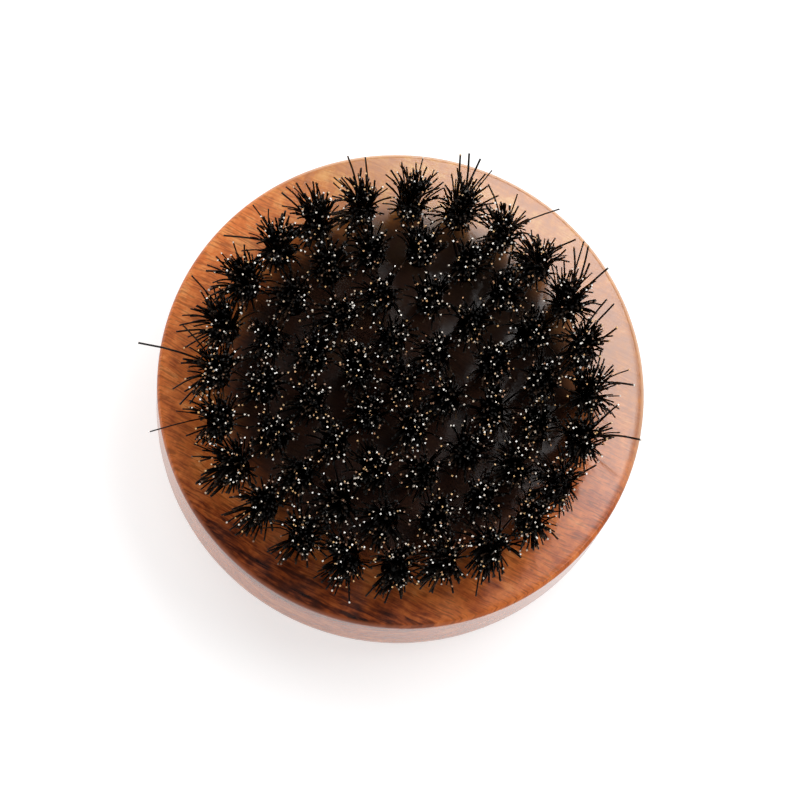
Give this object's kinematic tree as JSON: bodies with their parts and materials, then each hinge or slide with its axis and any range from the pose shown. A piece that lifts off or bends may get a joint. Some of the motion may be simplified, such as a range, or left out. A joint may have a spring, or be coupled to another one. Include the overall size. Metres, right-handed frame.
{
  "type": "round beard brush",
  "caption": "Round palm brush: a rounded wooden disc with rings of black bristle tufts set in blind holes on its flat face.",
  "frame": {"origin": "centre of the flat rest face on the back of the wooden body", "axes": "+Z along the disc's axis, out of the bristle face; +X through the first tuft of the outer ring; +Y completes a right-handed set"},
  "size_m": [0.058, 0.058, 0.031],
  "materials": {
    "lacquered_wood": "reddish-brown hardwood with fine darker streaks and pores, under a clear satin lacquer",
    "bristle": "stiff black animal bristle, glossy along its length, with small pale gold cut ends",
    "anchor_wire": "bright flat steel wire"
  },
  "bodies": {
    "root": {"wood_body": "lacquered_wood", "anchor_staples": "anchor_wire", "tufts_inner": "bristle", "tuft_second_01": "bristle", "tuft_second_02": "bristle", "tuft_second_03": "bristle", "tuft_second_04": "bristle", "tuft_second_05": "bristle", "tuft_second_06": "bristle", "tuft_second_07": "bristle", "tuft_second_08": "bristle", "tuft_second_09": "bristle", "tuft_second_10": "bristle", "tuft_second_11": "bristle", "tuft_second_12": "bristle", "tuft_third_01": "bristle", "tuft_third_02": "bristle", "tuft_third_03": "bristle", "tuft_third_04": "bristle", "tuft_third_05": "bristle", "tuft_third_06": "bristle", "tuft_third_07": "bristle", "tuft_third_08": "bristle", "tuft_third_09": "bristle", "tuft_third_10": "bristle", "tuft_third_11": "bristle", "tuft_third_12": "bristle", "tuft_third_13": "bristle", "tuft_third_14": "bristle", "tuft_third_15": "bristle", "tuft_third_16": "bristle", "tuft_third_17": "bristle", "tuft_third_18": "bristle", "tuft_outer_01": "bristle", "tuft_outer_02": "bristle", "tuft_outer_03": "bristle", "tuft_outer_04": "bristle", "tuft_outer_05": "bristle", "tuft_outer_06": "bristle", "tuft_outer_07": "bristle", "tuft_outer_08": "bristle", "tuft_outer_09": "bristle", "tuft_outer_10": "bristle", "tuft_outer_11": "bristle", "tuft_outer_12": "bristle", "tuft_outer_13": "bristle", "tuft_outer_14": "bristle", "tuft_outer_15": "bristle", "tuft_outer_16": "bristle", "tuft_outer_17": "bristle", "tuft_outer_18": "bristle", "tuft_outer_19": "bristle", "tuft_outer_20": "bristle", "tuft_outer_21": "bristle", "tuft_outer_22": "bristle", "tuft_outer_23": "bristle", "tuft_outer_24": "bristle"}
  },
  "joints": []
}
